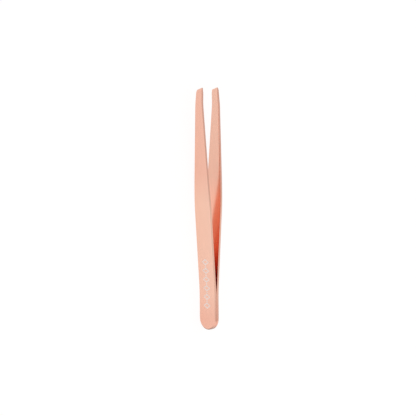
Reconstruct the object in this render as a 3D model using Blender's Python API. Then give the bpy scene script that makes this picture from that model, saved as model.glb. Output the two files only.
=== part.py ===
"""Slant-tip tweezers: two bent steel arms spot-welded together at a rounded tail.

Run with: blender --background --python part.py

The tweezers lie on their long edges. +X runs towards the tail and the tips are at -X, the
arms open along Y, and their width stands along Z. The origin is the bottom centre of the
whole, on the surface the edges lie on.

A place along an arm is its distance from the tail's end. On the real object each arm is one
strip of spring steel. Here it is parted at its flexure, so that the free length can swing:
a tail, which is held by the welds, and a blade.
"""

import math

import bmesh
import bpy
from mathutils import Matrix, Vector

MM = 0.001

# Driving dimensions, in millimetres, with angles in degrees.
LENGTH = 95.0
ARM_WIDTH = 8.4
TIP_WIDTH = 2.75
STOCK = 1.0  # thickness of the strip
WELD_SEAM = 0.3  # between the two tails
EDGE_BREAK = 0.08  # on every long edge and round every end
TAPER_START = 45.0
TAPER_BLEND = 8.0  # length over which the straight sides turn into the taper
SLANT = 18.0  # the tip's cut, away from square

# Bends in the strip: the place where each arc starts, the arc's length, and the slope it adds
# to the strip. A positive slope leads away from the other arm.
BENDS = (
    (12.0, 7.0, 0.0708),
    (50.0, 12.0, -0.0368),
    (87.0, 3.0, -0.111),
)

# The flexure is where the strip gives when the arms are squeezed.
FLEXURE = 21.0
FLEXURE_GAP = 0.3

# The tip's ground faces: a flat inner land that meets the other tip's, and an outer facet.
LAND_LENGTH = 1.5  # at the cut's short corner
CLOSED_GAP = 0.04  # left between the two lands at the end of the travel
FACET_LENGTH = 0.95
FACET_DEPTH = 0.35

# Spot welds between the tails: nuggets, each in a pocket that it clears.
WELD_PLACES = (5.4, 10.8)
WELD_DIAMETER = 3.0
WELD_THICKNESS = 0.9
WELD_CLEARANCE = 0.3
WELD_SIDES = 24

ROUND_END_SEGMENTS = 28
ARC_STEP = 1.0
STRAIGHT_STEP = 8.0
BREAK_ANGLE = 50.0  # edges sharper than this are broken
SHADE_ANGLE = 20.0  # and edges sharper than this are shaded sharp

TAIL_X = LENGTH / 2
TAPER_RUN = LENGTH - TAPER_START - TAPER_BLEND / 2
TAPER_SLOPE = (ARM_WIDTH - TIP_WIDTH) / 2 / TAPER_RUN  # of each side


def turned_length(place, start, arc):
    """How far past an arc's virtual corner a place is, which its slope then multiplies."""
    past = place - start
    if past <= 0:
        return 0.0
    if past < arc:
        return past * past / (2 * arc)
    return past - arc / 2


def bent_face(place):
    """Distance of the bent strip's inner face from the middle plane, with no land ground."""
    offset = sum(slope * turned_length(place, start, arc) for start, arc, slope in BENDS)
    return WELD_SEAM / 2 + offset


def half_width(place):
    """Half of the strip's width: straight sides, a blended shoulder and a straight taper."""
    return ARM_WIDTH / 2 - TAPER_SLOPE * turned_length(place, TAPER_START, TAPER_BLEND)


def square_rung(place):
    """The two ends of a rung that runs square across the strip, as place and height."""
    half = half_width(place)
    return ((place, -half), (place, half))


def slanted_rung(back):
    """The two ends of a rung that is parallel to the tip's cut, set back from it."""
    slant = math.tan(math.radians(SLANT))
    high = LENGTH - back
    low = high - 2 * half_width(high) * slant / (1 - TAPER_SLOPE * slant)
    return ((low, -half_width(low)), (high, half_width(high)))


def land_start():
    """The land starts square across the strip, behind the cut's short corner."""
    short_corner = slanted_rung(0.0)[0][0]
    return short_corner - LAND_LENGTH


def pivot_offset():
    """The flexure's axis runs through the middle of the stock."""
    return bent_face(FLEXURE) + STOCK / 2


def closing_angle():
    """The turn, in radians, that brings the start of a land to the middle plane."""
    reach = land_start() - FLEXURE
    rise = bent_face(land_start()) - pivot_offset()
    drop = pivot_offset() - CLOSED_GAP / 2
    return math.asin(drop / math.hypot(reach, rise)) + math.atan2(rise, reach)


def inner_face(place):
    """The inner face, whose land is ground to lie along the middle plane when closed."""
    past = max(0.0, place - land_start())
    return bent_face(place - past) + past * math.tan(closing_angle())


def places_between(start, end):
    """Places for the strip's rungs: close together on its arcs and far apart between them."""
    arcs = [(first, first + arc) for first, arc, _ in BENDS]
    arcs.append((TAPER_START, TAPER_START + TAPER_BLEND))
    places = [start]
    while places[-1] < end:
        here = places[-1]
        on_arc = any(first <= here < last for first, last in arcs)
        step = here + (ARC_STEP if on_arc else STRAIGHT_STEP)
        ends = [place for arc in arcs for place in arc if here < place < step]
        places.append(min([step, end, *ends]))
    return places


def round_end():
    """The tail's half-round end, between the two ends of its first rung."""
    radius = ARM_WIDTH / 2
    turn = math.pi / ROUND_END_SEGMENTS
    angles = [step * turn - math.pi / 2 for step in range(1, ROUND_END_SEGMENTS)]
    return [(radius - radius * math.cos(a), radius * math.sin(a)) for a in angles]


def world_point(place, across, height, side):
    """Metres in the object's frame. side is -1 for the near arm and +1 for the far one."""
    x = TAIL_X - place
    return Vector((x, side * across, ARM_WIDTH / 2 + height)) * MM


def make_material(name, colour, roughness):
    material = bpy.data.materials.new(name)
    material.use_nodes = True
    shader = material.node_tree.nodes["Principled BSDF"]
    shader.inputs["Base Color"].default_value = (*colour, 1.0)
    shader.inputs["Roughness"].default_value = roughness
    shader.inputs["Metallic"].default_value = 1.0
    return material


def make_object(name, bm, location, material):
    """Turns a mesh that is still in the object's frame into a node placed at location."""
    bmesh.ops.translate(bm, verts=bm.verts, vec=-location)
    bmesh.ops.recalc_face_normals(bm, faces=bm.faces)
    mesh = bpy.data.meshes.new(name)
    bm.to_mesh(mesh)
    bm.free()
    mesh.materials.append(material)
    mesh.shade_smooth()
    mesh.set_sharp_from_angle(angle=math.radians(SHADE_ANGLE))
    obj = bpy.data.objects.new(name, mesh)
    obj.location = location
    bpy.context.scene.collection.objects.link(obj)
    return obj


def make_strip(name, side, rungs, end_points, facet_depth, material):
    """One length of an arm: its outer face, laid out flat, grown through to the inner one."""
    bm = bmesh.new()
    ladder = [[bm.verts.new((*end, 0.0)) for end in rung] for rung in rungs]
    for (low, high), (next_low, next_high) in zip(ladder, ladder[1:]):
        bm.faces.new((low, next_low, next_high, high))
    if end_points:
        arc = [bm.verts.new((*point, 0.0)) for point in end_points]
        bm.faces.new((ladder[0][0], *arc, ladder[0][1]))
    outer = list(bm.verts)
    grown = bmesh.ops.extrude_face_region(bm, geom=list(bm.faces))
    inner = [g for g in grown["geom"] if isinstance(g, bmesh.types.BMVert)]
    ground = set(ladder[-1]) if facet_depth else set()
    for vert in outer:
        place, height, _ = vert.co
        across = bent_face(place) + STOCK - (facet_depth if vert in ground else 0.0)
        vert.co = world_point(place, across, height, side)
    for vert in inner:
        place, height, _ = vert.co
        vert.co = world_point(place, inner_face(place), height, side)
    location = world_point(FLEXURE, pivot_offset(), -ARM_WIDTH / 2, side)
    strip = make_object(name, bm, location, material)
    edge_break = strip.modifiers.new("edge_break", "BEVEL")
    edge_break.width = EDGE_BREAK * MM
    edge_break.segments = 1
    edge_break.limit_method = "ANGLE"
    edge_break.angle_limit = math.radians(BREAK_ANGLE)
    return strip


def make_tail(arm, side, material):
    """From the round end to the flexure."""
    places = places_between(ARM_WIDTH / 2, FLEXURE - FLEXURE_GAP / 2)
    rungs = [square_rung(place) for place in places]
    return make_strip(arm + "_tail", side, rungs, round_end(), 0.0, material)


def make_blade(arm, side, material):
    """From the flexure to the slanted tip. It is placed on the flexure's axis."""
    places = places_between(FLEXURE + FLEXURE_GAP / 2, land_start())
    rungs = [square_rung(place) for place in places]
    rungs += [slanted_rung(FACET_LENGTH), slanted_rung(0.0)]
    return make_strip(arm + "_blade", side, rungs, [], FACET_DEPTH, material)


def make_nugget(name, place, growth, material):
    """A round weld nugget across the seam: a short drum with a shallow cone on each face."""
    radius = (WELD_DIAMETER / 2 + growth) * MM
    layer = (WELD_THICKNESS + 2 * growth) / 3 * MM
    centre = world_point(place, 0.0, 0.0, 1)
    bm = bmesh.new()
    bmesh.ops.create_cone(
        bm,
        cap_ends=True,
        segments=WELD_SIDES,
        radius1=radius,
        radius2=radius,
        depth=layer,
        matrix=Matrix.Translation(centre) @ Matrix.Rotation(math.pi / 2, 4, "X"),
    )
    for cap in [face for face in bm.faces if len(face.verts) == WELD_SIDES]:
        bmesh.ops.inset_region(bm, faces=[cap], thickness=radius / 3, depth=layer)
    return make_object(name, bm, centre, material)


def cut_pocket(tail, cutter):
    """Sinks a nugget's pocket into the tail's inner face."""
    pocket = tail.modifiers.new(cutter.name, "BOOLEAN")
    pocket.operation = "DIFFERENCE"
    pocket.solver = "EXACT"
    pocket.object = cutter


def main():
    for obj in list(bpy.data.objects):
        bpy.data.objects.remove(obj)
    rose_gold = make_material("rose_gold", (0.87, 0.53, 0.40), roughness=0.2)
    weld_steel = make_material("weld_steel", (0.48, 0.45, 0.43), roughness=0.5)
    tails = []
    for arm, side in (("near_arm", -1), ("far_arm", 1)):
        tails.append(make_tail(arm, side, rose_gold))
        make_blade(arm, side, rose_gold)
    for name, place in zip(("rear", "front"), WELD_PLACES):
        make_nugget("weld_spot_" + name, place, 0.0, weld_steel)
        cutter = make_nugget("weld_pocket_" + name, place, WELD_CLEARANCE, weld_steel)
        cutter.hide_render = True
        cutter.display_type = "WIRE"
        for tail in tails:
            cut_pocket(tail, cutter)


main()
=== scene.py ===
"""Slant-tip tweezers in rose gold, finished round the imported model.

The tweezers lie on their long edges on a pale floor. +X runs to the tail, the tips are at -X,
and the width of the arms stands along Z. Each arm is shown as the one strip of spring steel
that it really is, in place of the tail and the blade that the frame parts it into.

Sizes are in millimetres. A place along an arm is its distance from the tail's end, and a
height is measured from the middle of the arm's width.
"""

import math

import bmesh
import bpy
from mathutils import Matrix, Vector


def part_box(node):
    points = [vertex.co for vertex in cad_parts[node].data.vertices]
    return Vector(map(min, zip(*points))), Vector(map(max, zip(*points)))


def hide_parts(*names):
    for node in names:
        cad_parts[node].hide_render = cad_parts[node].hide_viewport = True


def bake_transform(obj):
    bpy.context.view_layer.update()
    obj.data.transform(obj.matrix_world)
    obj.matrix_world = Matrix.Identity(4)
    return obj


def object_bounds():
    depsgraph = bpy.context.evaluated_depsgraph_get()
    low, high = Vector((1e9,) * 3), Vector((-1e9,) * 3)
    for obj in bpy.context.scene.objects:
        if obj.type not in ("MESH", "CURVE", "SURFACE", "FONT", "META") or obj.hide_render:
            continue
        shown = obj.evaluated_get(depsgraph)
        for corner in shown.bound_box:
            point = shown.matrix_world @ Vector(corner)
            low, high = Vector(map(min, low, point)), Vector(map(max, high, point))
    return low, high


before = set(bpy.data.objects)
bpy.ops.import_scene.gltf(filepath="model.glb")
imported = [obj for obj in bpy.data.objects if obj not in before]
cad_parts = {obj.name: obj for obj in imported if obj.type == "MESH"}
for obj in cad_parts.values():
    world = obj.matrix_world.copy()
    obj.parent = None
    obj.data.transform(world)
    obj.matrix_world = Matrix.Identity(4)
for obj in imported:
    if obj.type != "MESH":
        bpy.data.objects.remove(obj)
cad_low, cad_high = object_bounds()

MM = 0.001

# ---------------------------------------------------------------- sizes of the strip

tail_low, tail_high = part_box("near_arm_tail")
TAIL_X = tail_high.x / MM
ARM_WIDTH = (tail_high.z - tail_low.z) / MM
FRAME_SEAM = -2 * tail_high.y / MM  # the frame's gap between the two tails

# These repeat the part's own dimensions.
LENGTH = 95.0
TIP_WIDTH = 2.75
STOCK = 1.0
TAPER_START = 45.0
TAPER_BLEND = 8.0
SLANT = 18.0  # degrees
BENDS = (  # start of each arc, length of the arc, slope that it adds to the strip
    (12.0, 7.0, 0.0708),
    (50.0, 12.0, -0.0368),
    (87.0, 3.0, -0.111),
)
FLEXURE = 21.0
LAND_LENGTH = 1.5  # of the tip's ground inner face, at the cut's short corner
CLOSED_GAP = 0.04  # between the two lands when they are parallel
FACET_LENGTH = 0.95
FACET_DEPTH = 0.35

# The welded tails meet more closely than the frame's solids can. The inner faces are moved
# together up to SEAM_END, and are where the frame has them from SEAM_OPEN on.
SEAM = 0.02
SEAM_END = 14.0
SEAM_OPEN = 20.0

# Rounding of the strip's edges.
OUTER_RADIUS = 0.2
TAIL_RADIUS = 0.45  # of the outer face's edge, round the tail's end
TAIL_RADIUS_RUN = (1.5, 5.5)  # the places between which it changes to the outer radius
INNER_ROLL = (0.45, 0.08)  # the inner face's edge: along the face, and into the strip
TIP_RADIUS = 0.04
TIP_RADIUS_RUN = 5.0  # behind the facet, over which the roundings change to the tip's
CORNER_RADIUS = 0.2  # of the cut's two corners, seen square to the arm
ARC_STEPS = 5  # facets across each rounding
ROUND_END_STEPS = 72
CORNER_STEPS = 5
CUT_STEPS = 4

# Spacing of the rungs that the strip is built on.
FINE_STEP = 0.3
BLEND_STEP = 0.5
PLAIN_STEP = 2.0

# Where a squeezed arm bends.
BEND_START = 16.0
BEND_END = 30.0

# Welds between the tails, and the room that the arms' inner faces leave round them.
WELD_PLACES = (5.4, 10.8)
POCKET_RADIUS = 1.8
POCKET_THICKNESS = 1.5
POCKET_SIDES = 48

# The arms' modifiers work on them at this size. At their own size, in metres, the weighted
# normals come out uneven on the smallest faces.
ENLARGED = Matrix.Scale(1 / MM, 4)

# A printed row of lozenges and dots on the near arm's outer face.
MARK_START = 9.6
MARK_PITCH = 3.45
MARK_COUNT = 6
MARK_HEIGHT = 0.0
LOZENGE_LENGTH = 2.6
LOZENGE_WIDTH = 3.8
STROKE = 0.46
DOT_RADIUS = 0.34
DOT_SIDES = 12
INK_PROUD = 0.015  # above the face
INK_SUNK = 0.03  # below it

# ---------------------------------------------------------------- finishes

# The plating's colour at places along the outer and the inner faces, with painted shade and
# light in it.
# The outer faces are darker at the tail's end and towards the tips, as painted shade.
OUTER_COLOUR_AND_PAINTED_SHADE = (
    (4.0, (0.84, 0.48, 0.37)),
    (14.0, (0.87, 0.55, 0.43)),
    (50.0, (0.87, 0.56, 0.435)),
    (62.0, (0.845, 0.495, 0.385)),
)
# On the inner faces the colour is darker and redder where the arms close at the tail, as
# painted shade between the arms, and lighter than on the outer faces further on, as painted
# light.
INNER_COLOUR_AND_PAINTED_SHADE = (
    (14.0, (0.76, 0.38, 0.28)),
    (22.0, (0.79, 0.42, 0.32)),
    (32.0, (0.94, 0.56, 0.43)),
    (52.0, (0.95, 0.565, 0.43)),
    (60.0, (0.84, 0.53, 0.415)),
)
WORN_COLOUR = (0.80, 0.66, 0.58)
# Painted shadow: the rounded edge round the tail's end is darkened as if it reflected the
# tweezers' own shadow on the floor.
PAINTED_SHADOW_COLOUR = (0.28, 0.17, 0.13)
PAINTED_SHADOW_SHARE = 0.8  # its share of the colour of the edge at the tail's end
PAINTED_SHADOW_RUN = (0.3, 2.4)  # the places between which it dies away

# Noise patterns on the plating: scales per millimetre of place, height and distance across,
# and detail.
BRUSHED_LINES = ((0.06, 3.5, 3.5), 5.0)
GROUND_LINES = ((6.0, 0.2, 0.2), 5.0)
CLOUDS = ((0.25, 0.6, 0.6), 3.0)
CHIPS = ((1.3, 2.0, 2.0), 4.0)
PEEL = ((1.1, 1.6, 1.6), 2.0)

LINE_SHADE = 0.02  # share by which the lines lighten and darken the colour
CLOUD_SHADE = 0.012
LINE_DEPTH = 0.0008
PEEL_DEPTH = 0.0012
CHIP_RANGE = (-0.6, 1.0)  # below 0 the edge is not worn
WEAR = 0.25  # the worn colour's largest share
WORN_ROUGHENING = 0.2  # for each unit of wear
BRUSHED_ROUGHNESS = 0.18
GROUND_ROUGHNESS = 0.3
ROUGHNESS_CHANGE = (-0.03, 0.04)  # from line to line

NOISE_MIDDLE = (0.3, 0.7)  # most of a noise's values lie between these

# The welds and the ink. Scales are per metre.
COOL_STEEL = (0.46, 0.45, 0.44)
STRAW_STEEL = (0.55, 0.44, 0.31)
HEAT_SCALE = 900.0
HEAT_DETAIL = 2.0
GRAIN_SCALE = 6000.0
GRAIN_DETAIL = 4.0
GRAIN_DEPTH = 0.02
WELD_ROUGHNESS = (0.42, 0.6)
THICK_INK = (0.77, 0.69, 0.65)
THIN_INK = (0.80, 0.65, 0.59)
PATCH_SCALE = 1500.0
PATCH_DETAIL = 3.0
PATCH_DEPTH = 0.002
INK_ROUGHNESS = (0.4, 0.55)

# ---------------------------------------------------------------- studio and camera

FLOOR_RADIUS = 6000.0
FLOOR_SIDES = 96
FLOOR_DROP = 0.02  # below the arms' edges
FLOOR_ROUGHNESS = 0.9
# The floor's glow and its own grey: as the camera sees it, in one reflection, and in more.
FLOOR_GLOW = (0.85, 0.64, 0.08)
FLOOR_GREY = (0.20, 0.45, 0.99)

# The sky's strengths, and the parts of a direction between which they change.
WHITE = (1.0, 1.0, 1.0)
FAR_SKY_COLOUR = (1.0, 0.91, 0.89)
SKY_NEAR = 1.08
SKY_FAR = 0.74
SKY_Y = (-0.95, -0.35)
BAND_STRENGTH = 0.25  # of a band of light on the far side
BAND_START_X = (0.04, 0.08)
BAND_END_X = (0.135, 0.155)
BAND_Y = (0.3, 0.6)
TAIL_LIGHT_STRENGTH = 1.05
TAIL_LIGHT_X = (0.2, 0.35)
BACKDROP_STRENGTH = 1.0

# The camera's place: degrees and millimetres.
CAMERA_ELEVATION = 45.0
CAMERA_SWING = 5.1  # towards the tips
CAMERA_ROLL = -0.44
CAMERA_DISTANCE = 610.0
AIM_RIGHT = -0.17
AIM_UP = 0.5
LENS = 135.0
SENSOR_WIDTH = 36.0
CLIP_START = 10.0
CLIP_END = 50000.0

# The arms' inner faces mirror each other many times over.
REFLECTIONS = 24
DIFFUSE_BOUNCES = 8

# ---------------------------------------------------------------- the strip's shape

TAPER_RUN = LENGTH - TAPER_START - TAPER_BLEND / 2
TAPER_SLOPE = (ARM_WIDTH - TIP_WIDTH) / 2 / TAPER_RUN


def ramp(value, start, end):
    """0 before start, 1 after end, and smooth between them."""
    share = min(1.0, max(0.0, (value - start) / (end - start)))
    return share * share * (3 - 2 * share)


def turned_length(place, start, arc):
    """How far past an arc's virtual corner a place is, which its slope then multiplies."""
    past = place - start
    if past <= 0:
        return 0.0
    if past < arc:
        return past * past / (2 * arc)
    return past - arc / 2


def bent_face(place):
    """Distance of the bent strip's inner face from the middle plane, as the frame has it."""
    offset = sum(slope * turned_length(place, start, arc) for start, arc, slope in BENDS)
    return FRAME_SEAM / 2 + offset


def half_width(place):
    """Half of the strip's width: straight sides, a blended shoulder and a straight taper."""
    return ARM_WIDTH / 2 - TAPER_SLOPE * turned_length(place, TAPER_START, TAPER_BLEND)


def square_rung(place):
    """Low and high ends of a line that runs square across the strip."""
    half = half_width(place)
    return ((place, -half), (place, half))


def slanted_rung(back):
    """Low and high ends of a line that is parallel to the tip's cut, set back from it."""
    slant = math.tan(math.radians(SLANT))
    high = LENGTH - back
    low = high - 2 * half_width(high) * slant / (1 - TAPER_SLOPE * slant)
    return ((low, -half_width(low)), (high, half_width(high)))


LAND_START = slanted_rung(0.0)[0][0] - LAND_LENGTH


def closing_slope():
    """The land's slope, which lays it along the middle plane when the arms close."""
    pivot = bent_face(FLEXURE) + STOCK / 2
    reach = LAND_START - FLEXURE
    rise = bent_face(LAND_START) - pivot
    drop = pivot - CLOSED_GAP / 2
    return math.tan(math.asin(drop / math.hypot(reach, rise)) + math.atan2(rise, reach))


LAND_SLOPE = closing_slope()


def behind_cut(place, height):
    """How far a point is behind the tip's slanted cut, along the arm."""
    below_top = TIP_WIDTH / 2 - height
    return LENGTH - below_top * math.tan(math.radians(SLANT)) - place


def inner_surface(place, _height):
    """Distance of the inner face from the middle plane. It is the same at every height."""
    past = max(0.0, place - LAND_START)
    closed_up = (FRAME_SEAM - SEAM) / 2 * (1 - ramp(place, SEAM_END, SEAM_OPEN))
    return bent_face(place - past) + past * LAND_SLOPE - closed_up


def outer_surface(place, height):
    """Distance of the outer face from the middle plane, with the facet ground at the tip."""
    ground = max(0.0, 1 - behind_cut(place, height) / FACET_LENGTH)
    return bent_face(place) + STOCK - FACET_DEPTH * ground


def fading_to_tip(size, place, height):
    """A rounding's size where it fades, towards the tip, into the fine edge of the cut."""
    back = behind_cut(place, height) - FACET_LENGTH
    return TIP_RADIUS + (size - TIP_RADIUS) * ramp(back, 0.0, TIP_RADIUS_RUN)


def outer_rounding(place, height):
    """The outer edge's rounding: its size along the face, and its size into the strip."""
    radius = TAIL_RADIUS + (OUTER_RADIUS - TAIL_RADIUS) * ramp(place, *TAIL_RADIUS_RUN)
    radius = fading_to_tip(radius, place, height)
    return radius, radius


def inner_rounding(place, height):
    """The inner edge's rounding, in the same two directions."""
    return tuple(fading_to_tip(size, place, height) for size in INNER_ROLL)


def to_world(place, across, height, side):
    """Metres in the object's frame. side is -1 for the near arm and +1 for the far one."""
    return Vector((TAIL_X - place, side * across, ARM_WIDTH / 2 + height)) * MM


# ---------------------------------------------------------------- the arms


def rung_places():
    """Places of the square rungs, close together where the strip's shape changes."""
    fine = [(start, start + arc) for start, arc, _ in BENDS]
    last_bend_end = fine[-1][1]
    fine.append((last_bend_end, LAND_START))
    fine.append((TAPER_START, TAPER_START + TAPER_BLEND))
    fine.append((0.0, TAIL_RADIUS_RUN[1]))
    stops = [*(place for span in fine for place in span), BEND_START, BEND_END]
    places = [ARM_WIDTH / 2]
    while places[-1] < LAND_START:
        here = places[-1]
        step = PLAIN_STEP
        if BEND_START <= here < BEND_END:
            step = BLEND_STEP
        if any(start <= here < end for start, end in fine):
            step = FINE_STEP
        nearer = [stop for stop in stops if here < stop < here + step]
        places.append(min([here + step, LAND_START, *nearer]))
    return places


def side_normal(place, sign):
    """The direction into the strip from its low (-1) or high (+1) side."""
    nudge = 0.01
    rise = half_width(place + nudge) - half_width(place - nudge)
    slope = rise / (2 * nudge)
    return Vector((slope, -sign)).normalized()


def rung_end(end, along, sign):
    """An outline point at the end of a rung: inset by one unit, it moves along the rung."""
    normal = side_normal(end[0], sign)
    return Vector(end), along / along.dot(normal)


def rung_ends(rung):
    """The outline points at the low and the high end of a rung."""
    along = (Vector(rung[1]) - Vector(rung[0])).normalized()
    return rung_end(rung[0], along, -1), rung_end(rung[1], -along, 1)


def rounded_corner(corner, before, after):
    """A fillet's outline points, between two sides given by the directions into the strip."""
    centre = corner + CORNER_RADIUS * (before + after) / (1 + before.dot(after))
    turn = before.angle_signed(after)
    points = []
    for step in range(CORNER_STEPS + 1):
        inward = before.copy()
        inward.rotate(Matrix.Rotation(-turn * step / CORNER_STEPS, 2))
        points.append((centre - CORNER_RADIUS * inward, inward))
    return points


def tip_outline():
    """Outline points round the tip, from its low side, along the cut, to its high side."""
    low, high = (Vector(end) for end in slanted_rung(0.0))
    along = (high - low).normalized()
    into = Vector((-along.y, along.x))
    low_corner = rounded_corner(low, side_normal(low.x, -1), into)
    high_corner = rounded_corner(high, into, side_normal(high.x, 1))
    first = low_corner[-1][0]
    last = high_corner[0][0]
    cut = [(first.lerp(last, step / CUT_STEPS), into) for step in range(1, CUT_STEPS)]
    return low_corner + cut + high_corner


def tail_outline():
    """Outline points round the tail, from its high side to its low side."""
    radius = ARM_WIDTH / 2
    points = []
    for step in range(1, ROUND_END_STEPS):
        angle = math.pi / 2 - math.pi * step / ROUND_END_STEPS
        inward = Vector((math.cos(angle), -math.sin(angle)))
        points.append((Vector((radius, 0.0)) - radius * inward, inward))
    return points


def edge_rings(points):
    """Rings of points over the strip's edge, from the inner face round to the outer one."""
    quarter = [math.pi / 2 * step / ARC_STEPS for step in range(ARC_STEPS + 1)]
    rings = []
    for surface, rounding, turns, sink in (
        (inner_surface, inner_rounding, reversed(quarter), 1),
        (outer_surface, outer_rounding, quarter, -1),
    ):
        for turn in turns:
            ring = []
            for point, inset in points:
                along, deep = rounding(*point)
                place, height = point + inset * along * (1 - math.cos(turn))
                across = surface(place, height) + sink * deep * (1 - math.sin(turn))
                ring.append((place, height, across))
            rings.append(ring)
    return rings


def finish_mesh(obj):
    """Applies an object's modifiers, so that its mesh is final."""
    graph = bpy.context.evaluated_depsgraph_get()
    mesh = bpy.data.meshes.new_from_object(obj.evaluated_get(graph))
    obj.modifiers.clear()
    obj.data = mesh


def add_object(name, bm, materials):
    """Turns a mesh in the making into an object of the scene."""
    bmesh.ops.recalc_face_normals(bm, faces=bm.faces)
    mesh = bpy.data.meshes.new(name)
    bm.to_mesh(mesh)
    bm.free()
    for material in materials:
        mesh.materials.append(material)
    obj = bpy.data.objects.new(name, mesh)
    bpy.context.scene.collection.objects.link(obj)
    return obj


def add_wall(bm, lower, upper):
    """Faces between two rings that have the same number of points."""
    faces = []
    for i in range(len(lower)):
        j = (i + 1) % len(lower)
        faces.append(bm.faces.new((lower[i], lower[j], upper[j], upper[i])))
    return faces


def add_rings(bm, points, side):
    """The strip's rings of points, with three layers for its material.

    strip holds the place, the height and the distance across, in millimetres, edge is 1 on the
    rounded edges, and inside is 1 on the inner face.
    """
    strip_layer = bm.verts.layers.float_vector.new("strip")
    edge_layer = bm.verts.layers.float.new("edge")
    inside_layer = bm.verts.layers.float.new("inside")
    rings = []
    outlines = edge_rings(points)
    for number, outline in enumerate(outlines):
        ring = []
        for place, height, across in outline:
            vert = bm.verts.new(to_world(place, across, height, side))
            vert[strip_layer] = (place, height, across)
            vert[edge_layer] = float(0 < number < len(outlines) - 1)
            vert[inside_layer] = float(number == 0)
            ring.append(vert)
        rings.append(ring)
    return rings


def add_broad_face(bm, ring, high_of, is_inner):
    """The inner or the outer face, from rung to rung, with the tip and the tail's round end."""
    last = len(high_of) - 1
    for i in range(last):
        quad = (ring[i], ring[i + 1], ring[high_of[i + 1]], ring[high_of[i]])
        face = bm.faces.new(quad)
        face.material_index = int(is_inner and i == last - 1)
    tip = bm.faces.new(ring[last : high_of[last] + 1])
    tip.material_index = 1
    bm.faces.new((*ring[high_of[0] :], ring[0]))
    # A sharp line borders the land on the inner face, and the facet on the outer one.
    ridge = last - 1 if is_inner else last
    ridge_line = bm.edges.get((ring[ridge], ring[high_of[ridge]]))
    ridge_line.smooth = False


def arm_mesh(side):
    """One whole strip. Its ground faces, at the tip, are in material slot 1."""
    rungs = [square_rung(place) for place in rung_places()]
    rungs.append(slanted_rung(FACET_LENGTH))
    lows, highs = zip(*(rung_ends(rung) for rung in rungs))
    tip = tip_outline()
    points = [*lows, *tip, *reversed(highs), *tail_outline()]
    count = len(rungs)
    # The number, in the outline, of the point across from each low one.
    high_of = [count + len(tip) + (count - 1 - i) for i in range(count)]

    bm = bmesh.new()
    rings = add_rings(bm, points, side)
    for ring, above in zip(rings, rings[1:]):
        wall = add_wall(bm, ring, above)
        for face in wall[count : count + len(tip) - 1]:
            face.material_index = 1
    add_broad_face(bm, rings[0], high_of, True)
    add_broad_face(bm, rings[-1], high_of, False)
    for face in bm.faces:
        face.smooth = True
    return bm


def make_pocket(place):
    """A drum that cuts the same shallow round pocket into both inner faces."""
    bm = bmesh.new()
    bmesh.ops.create_cone(
        bm,
        cap_ends=True,
        segments=POCKET_SIDES,
        radius1=POCKET_RADIUS * MM,
        radius2=POCKET_RADIUS * MM,
        depth=POCKET_THICKNESS * MM,
        matrix=Matrix.Translation(to_world(place, 0.0, 0.0, 1))
        @ Matrix.Rotation(math.pi / 2, 4, "X"),
    )
    pocket = add_object("pocket_cutter", bm, [])
    pocket.data.transform(ENLARGED)
    return pocket


def bend_with(piece):
    """Bakes a piece's place into its mesh."""
    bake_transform(piece)


def make_arm(arm, side, materials, pockets):
    """One arm of the tweezers, in place of the frame's tail and blade."""
    piece = add_object(arm, arm_mesh(side), materials)
    piece.data.transform(ENLARGED)
    for pocket in pockets:
        cut = piece.modifiers.new(pocket.name, "BOOLEAN")
        cut.operation = "DIFFERENCE"
        cut.solver = "EXACT"
        cut.object = pocket
    shading = piece.modifiers.new("shading", "WEIGHTED_NORMAL")
    shading.keep_sharp = True
    finish_mesh(piece)
    piece.data.transform(ENLARGED.inverted())
    bend_with(piece)
    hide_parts(arm + "_tail", arm + "_blade")


def ink_ring(bm, outline, proud):
    """One ring of the mark's points, at a distance above the near arm's outer face."""
    verts = []
    for place, height in outline:
        across = outer_surface(place, height) + proud
        verts.append(bm.verts.new(to_world(place, across, height, -1)))
    return verts


def add_dot(bm, place):
    """A round dot of ink."""
    turns = [2 * math.pi * step / DOT_SIDES for step in range(DOT_SIDES)]
    outline = [
        (place + DOT_RADIUS * math.cos(turn), MARK_HEIGHT + DOT_RADIUS * math.sin(turn))
        for turn in turns
    ]
    lower = ink_ring(bm, outline, -INK_SUNK)
    upper = ink_ring(bm, outline, INK_PROUD)
    add_wall(bm, lower, upper)
    bm.faces.new(lower)
    bm.faces.new(upper)


def add_lozenge(bm, place):
    """A hollow lozenge: its outer and inner outlines, walled and capped between."""
    rings = []
    for inset in (0.0, STROKE * math.sqrt(2)):
        half_length = LOZENGE_LENGTH / 2 - inset
        half_height = LOZENGE_WIDTH / 2 - inset
        outline = (
            (place - half_length, MARK_HEIGHT),
            (place, MARK_HEIGHT - half_height),
            (place + half_length, MARK_HEIGHT),
            (place, MARK_HEIGHT + half_height),
        )
        rings.append([ink_ring(bm, outline, proud) for proud in (-INK_SUNK, INK_PROUD)])
    (outer_low, outer_high), (inner_low, inner_high) = rings
    add_wall(bm, outer_low, outer_high)
    add_wall(bm, inner_low, inner_high)
    add_wall(bm, outer_low, inner_low)
    add_wall(bm, outer_high, inner_high)


def make_mark(material):
    """A generic printed row of hollow lozenges with dots between them."""
    bm = bmesh.new()
    for number in range(MARK_COUNT):
        place = MARK_START + number * MARK_PITCH
        add_lozenge(bm, place)
        if number:
            add_dot(bm, place - MARK_PITCH / 2)
    mark = add_object("printed_mark", bm, [material])
    bend_with(mark)


# ---------------------------------------------------------------- materials


def new_material(name):
    """A material, its node tree and its Principled BSDF."""
    material = bpy.data.materials.new(name)
    material.use_nodes = True
    tree = material.node_tree
    return material, tree, tree.nodes["Principled BSDF"]


def add_node(tree, kind, inputs, **settings):
    """A node whose inputs are each given as a value or as the socket to link from."""
    node = tree.nodes.new("ShaderNode" + kind)
    for name, value in settings.items():
        setattr(node, name, value)
    for name, value in inputs.items():
        if isinstance(value, bpy.types.NodeSocket):
            tree.links.new(value, node.inputs[name])
        else:
            node.inputs[name].default_value = value
    return node


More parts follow.
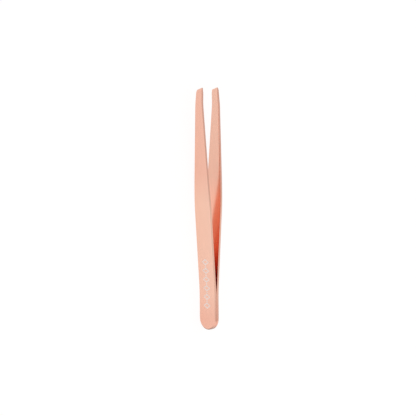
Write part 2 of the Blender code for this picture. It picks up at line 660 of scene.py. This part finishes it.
def compute(tree, operation, *values, use_clamp=False):
    """A Math node's result. Each value is a number or a socket."""
    inputs = dict(enumerate(values))
    node = add_node(tree, "Math", inputs, operation=operation, use_clamp=use_clamp)
    return node.outputs[0]


def mapped(tree, value, start, end, low, high, interpolation="LINEAR"):
    """low up to start, high from end on, and a ramp between them."""
    limits = {"From Min": start, "From Max": end, "To Min": low, "To Max": high}
    inputs = {"Value": value, **limits}
    node = add_node(tree, "MapRange", inputs, interpolation_type=interpolation)
    return node.outputs["Result"]


def smooth_step(tree, value, start, end, low, high):
    """low up to start, high from end on, and a smooth change between them."""
    return mapped(tree, value, start, end, low, high, "SMOOTHSTEP")


def spread(tree, noise, low, high):
    """Spreads the middle of a noise's range over low to high."""
    return mapped(tree, noise, *NOISE_MIDDLE, low, high)


def mixed(tree, factor, first, second):
    """Two colours mixed, each given as red, green and blue or as a socket."""
    inputs = {"Factor": factor}
    for name, colour in (("A", first), ("B", second)):
        is_socket = isinstance(colour, bpy.types.NodeSocket)
        inputs[name] = colour if is_socket else (*colour, 1.0)
    return add_node(tree, "Mix", inputs, data_type="RGBA").outputs["Result"]


def coordinates(tree, kind):
    """Texture coordinates of a kind, such as Object."""
    return add_node(tree, "TexCoord", {}).outputs[kind]


def layer(tree, name):
    """The arm mesh's edge or inside layer."""
    return add_node(tree, "Attribute", {}, attribute_name=name).outputs["Fac"]


def on_strip(tree):
    """The arm mesh's own place, height and distance across, as one vector."""
    return add_node(tree, "Attribute", {}, attribute_name="strip").outputs["Vector"]


def place_on_strip(tree):
    """The first part of that vector."""
    return add_node(tree, "SeparateXYZ", {"Vector": on_strip(tree)}).outputs["X"]


def noise_at(tree, where, scale, detail):
    """A noise pattern's grey, from 0 to 1."""
    inputs = {"Vector": where, "Scale": scale, "Detail": detail}
    return add_node(tree, "TexNoise", inputs).outputs["Fac"]


def strip_noise(tree, scales, detail):
    """Noise in an arm's own place, height and across, each with its scale per millimetre."""
    inputs = {0: on_strip(tree), 1: scales}
    stretched = add_node(tree, "VectorMath", inputs, operation="MULTIPLY")
    return noise_at(tree, stretched.outputs[0], 1.0, detail)


def colour_ramp(tree, factor, stops, interpolation="LINEAR"):
    """A colour that changes with a factor, between stops of factor and colour."""
    node = add_node(tree, "ValToRGB", {"Fac": factor})
    node.color_ramp.interpolation = interpolation
    points = node.color_ramp.elements
    while len(points) < len(stops):
        points.new(1.0)
    for point, (position, colour) in zip(points, stops):
        point.position = position
        point.color = (*colour, 1.0)
    return node.outputs["Color"]


def shaded_colour_along(tree, stops):
    """A colour that changes along the arm, between stops of place and colour. It carries
    painted shade and painted light.
    """
    share = compute(tree, "DIVIDE", place_on_strip(tree), LENGTH)
    return colour_ramp(tree, share, [(place / LENGTH, colour) for place, colour in stops])


def bump(tree, shader, layers):
    """Chains bump layers, each of a height and its depth in millimetres, onto a shader."""
    normal = None
    for height, depth in layers:
        inputs = {"Height": height, "Strength": 1.0, "Distance": depth * MM}
        if normal:
            inputs["Normal"] = normal
        normal = add_node(tree, "Bump", inputs).outputs["Normal"]
    tree.links.new(normal, shader.inputs["Normal"])


def make_rose_gold(name, line_pattern, roughness):
    """Rose gold plating over steel, with fine lines from its brushing or grinding."""
    material, tree, shader = new_material(name)
    shader.inputs["Metallic"].default_value = 1.0
    lines = strip_noise(tree, *line_pattern)
    clouds = strip_noise(tree, *CLOUDS)
    edge = layer(tree, "edge")

    # Painted shade and light: the outer and the inner faces each take a colour that changes
    # along the arm.
    outer = shaded_colour_along(tree, OUTER_COLOUR_AND_PAINTED_SHADE)
    inner = shaded_colour_along(tree, INNER_COLOUR_AND_PAINTED_SHADE)
    colour = mixed(tree, layer(tree, "inside"), outer, inner)
    for pattern, depth in ((clouds, CLOUD_SHADE), (lines, LINE_SHADE)):
        shade = spread(tree, pattern, 1.0 - depth, 1.0 + depth)
        shaded = add_node(tree, "VectorMath", {0: colour, "Scale": shade}, operation="SCALE")
        colour = shaded.outputs[0]
    chips = spread(tree, strip_noise(tree, *CHIPS), *CHIP_RANGE)
    wear = compute(tree, "MULTIPLY", edge, chips, use_clamp=True)
    wear = compute(tree, "MULTIPLY", wear, WEAR)
    colour = mixed(tree, wear, colour, WORN_COLOUR)
    # Painted shadow on the rounded edge at the tail's end, dying away along the arm.
    painted_shadow = smooth_step(tree, place_on_strip(tree), *PAINTED_SHADOW_RUN, PAINTED_SHADOW_SHARE, 0.0)
    painted_shadow = compute(tree, "MULTIPLY", edge, painted_shadow)
    colour = mixed(tree, painted_shadow, colour, PAINTED_SHADOW_COLOUR)
    tree.links.new(colour, shader.inputs["Base Color"])

    smoother, rougher = (roughness + change for change in ROUGHNESS_CHANGE)
    rough = spread(tree, lines, smoother, rougher)
    rough = compute(tree, "MULTIPLY_ADD", wear, WORN_ROUGHENING, rough)
    tree.links.new(rough, shader.inputs["Roughness"])
    bump(tree, shader, [(strip_noise(tree, *PEEL), PEEL_DEPTH), (lines, LINE_DEPTH)])
    return material


def make_weld_steel():
    """Bare fused steel: grey, grainy and tinted straw by the weld's heat."""
    material, tree, shader = new_material("weld_steel")
    shader.inputs["Metallic"].default_value = 1.0
    where = coordinates(tree, "Object")
    heat = noise_at(tree, where, HEAT_SCALE, HEAT_DETAIL)
    grain = noise_at(tree, where, GRAIN_SCALE, GRAIN_DETAIL)
    colour = mixed(tree, spread(tree, heat, 0.0, 1.0), COOL_STEEL, STRAW_STEEL)
    tree.links.new(colour, shader.inputs["Base Color"])
    rough = spread(tree, grain, *WELD_ROUGHNESS)
    tree.links.new(rough, shader.inputs["Roughness"])
    bump(tree, shader, [(grain, GRAIN_DEPTH)])
    return material


def make_ink():
    """Pale printed ink, a little thin in places."""
    material, tree, shader = new_material("printed_mark")
    patches = noise_at(tree, coordinates(tree, "Object"), PATCH_SCALE, PATCH_DETAIL)
    colour = mixed(tree, spread(tree, patches, 0.0, 1.0), THICK_INK, THIN_INK)
    tree.links.new(colour, shader.inputs["Base Color"])
    rough = spread(tree, patches, *INK_ROUGHNESS)
    tree.links.new(rough, shader.inputs["Roughness"])
    bump(tree, shader, [(patches, PATCH_DEPTH)])
    return material


# ---------------------------------------------------------------- studio


def by_depth(tree, greys):
    """A grey for what the camera sees, one for what it sees in one reflection, and so on."""
    depth = add_node(tree, "LightPath", {}).outputs["Ray Depth"]
    share = compute(tree, "DIVIDE", depth, len(greys))
    stops = []
    for number, grey in enumerate(greys):
        stops.append((max(0.0, number - 0.5) / len(greys), (grey, grey, grey)))
    return colour_ramp(tree, share, stops, "CONSTANT")


def make_floor():
    """A pale floor, whose glow and grey depend on how many reflections it is seen through."""
    bm = bmesh.new()
    radius = FLOOR_RADIUS * MM
    bmesh.ops.create_circle(bm, cap_ends=True, radius=radius, segments=FLOOR_SIDES)
    material, tree, shader = new_material("floor")
    shader.inputs["Roughness"].default_value = FLOOR_ROUGHNESS
    shader.inputs["Specular IOR Level"].default_value = 0.0
    shader.inputs["Emission Color"].default_value = (*WHITE, 1.0)
    tree.links.new(by_depth(tree, FLOOR_GLOW), shader.inputs["Emission Strength"])
    tree.links.new(by_depth(tree, FLOOR_GREY), shader.inputs["Base Color"])
    floor = add_object("floor", bm, [material])
    floor.location.z = -FLOOR_DROP * MM


def sky_strength(tree, x, y):
    """The sky's strength in a direction, given the direction's parts along X and Y."""
    sky = smooth_step(tree, y, *SKY_Y, SKY_NEAR, SKY_FAR)
    band = smooth_step(tree, x, *BAND_START_X, 0.0, BAND_STRENGTH)
    band = compute(tree, "MULTIPLY", band, smooth_step(tree, x, *BAND_END_X, 1.0, 0.0))
    band = compute(tree, "MULTIPLY", band, smooth_step(tree, y, *BAND_Y, 0.0, 1.0))
    tail_light = smooth_step(tree, x, *TAIL_LIGHT_X, 0.0, TAIL_LIGHT_STRENGTH)
    return compute(tree, "MAXIMUM", compute(tree, "ADD", sky, band), tail_light)


def make_world():
    """A soft white studio, brighter on the near side and beyond the tail.

    The far side is warmer and has one band of light. The camera sees a plain white backdrop.
    """
    world = bpy.data.worlds.new("studio")
    bpy.context.scene.world = world
    world.use_nodes = True
    tree = world.node_tree
    where = add_node(tree, "SeparateXYZ", {"Vector": coordinates(tree, "Generated")})
    x = where.outputs["X"]
    y = where.outputs["Y"]
    seen = add_node(tree, "LightPath", {}).outputs["Is Camera Ray"]
    sky_colour = mixed(tree, smooth_step(tree, y, *SKY_Y, 0.0, 1.0), WHITE, FAR_SKY_COLOUR)
    colour = mixed(tree, seen, sky_colour, WHITE)
    strength = mapped(tree, seen, 0.0, 1.0, sky_strength(tree, x, y), BACKDROP_STRENGTH)
    background = tree.nodes["Background"]
    tree.links.new(colour, background.inputs["Color"])
    tree.links.new(strength, background.inputs["Strength"])


def make_camera():
    """Looks down on the tweezers from the near side and a little from the tips, tips up."""
    data = bpy.data.cameras.new("camera")
    data.lens = LENS
    data.sensor_width = SENSOR_WIDTH
    data.clip_start = CLIP_START * MM
    data.clip_end = CLIP_END * MM
    camera = bpy.data.objects.new("camera", data)
    bpy.context.scene.collection.objects.link(camera)
    bpy.context.scene.camera = camera
    elevation = math.radians(CAMERA_ELEVATION)
    swing = math.radians(CAMERA_SWING)
    level = Vector((0.0, -math.cos(elevation), math.sin(elevation)))
    towards_tips = Vector((-1.0, 0.0, 0.0))
    back = level * math.cos(swing) + towards_tips * math.sin(swing)
    tips_up = towards_tips * math.cos(swing) - level * math.sin(swing)
    right = tips_up.cross(back)
    basis = Matrix((right, tips_up, back)).transposed()
    roll = Matrix.Rotation(math.radians(CAMERA_ROLL), 3, "Z")
    camera.rotation_mode = "QUATERNION"
    camera.rotation_quaternion = (basis @ roll).to_quaternion()
    aim = (cad_low + cad_high) / 2 + right * AIM_RIGHT * MM + tips_up * AIM_UP * MM
    camera.location = aim + back * CAMERA_DISTANCE * MM


def main():
    """Finishes the frame and builds the studio round it."""
    scene = bpy.context.scene
    scene.view_settings.view_transform = "Standard"
    scene.cycles.max_bounces = REFLECTIONS
    scene.cycles.glossy_bounces = REFLECTIONS
    scene.cycles.diffuse_bounces = DIFFUSE_BOUNCES
    scene.cycles.blur_glossy = 0.0
    rose_gold = make_rose_gold("rose_gold", BRUSHED_LINES, BRUSHED_ROUGHNESS)
    ground = make_rose_gold("ground_rose_gold", GROUND_LINES, GROUND_ROUGHNESS)
    pockets = [make_pocket(place) for place in WELD_PLACES]
    for arm, side in (("near_arm", -1), ("far_arm", 1)):
        make_arm(arm, side, [rose_gold, ground], pockets)
    for pocket in pockets:
        bpy.data.objects.remove(pocket)
    make_mark(make_ink())
    weld_steel = make_weld_steel()
    for name in ("weld_spot_rear", "weld_spot_front"):
        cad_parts[name].material_slots[0].material = weld_steel
    make_floor()
    make_world()
    make_camera()


main()
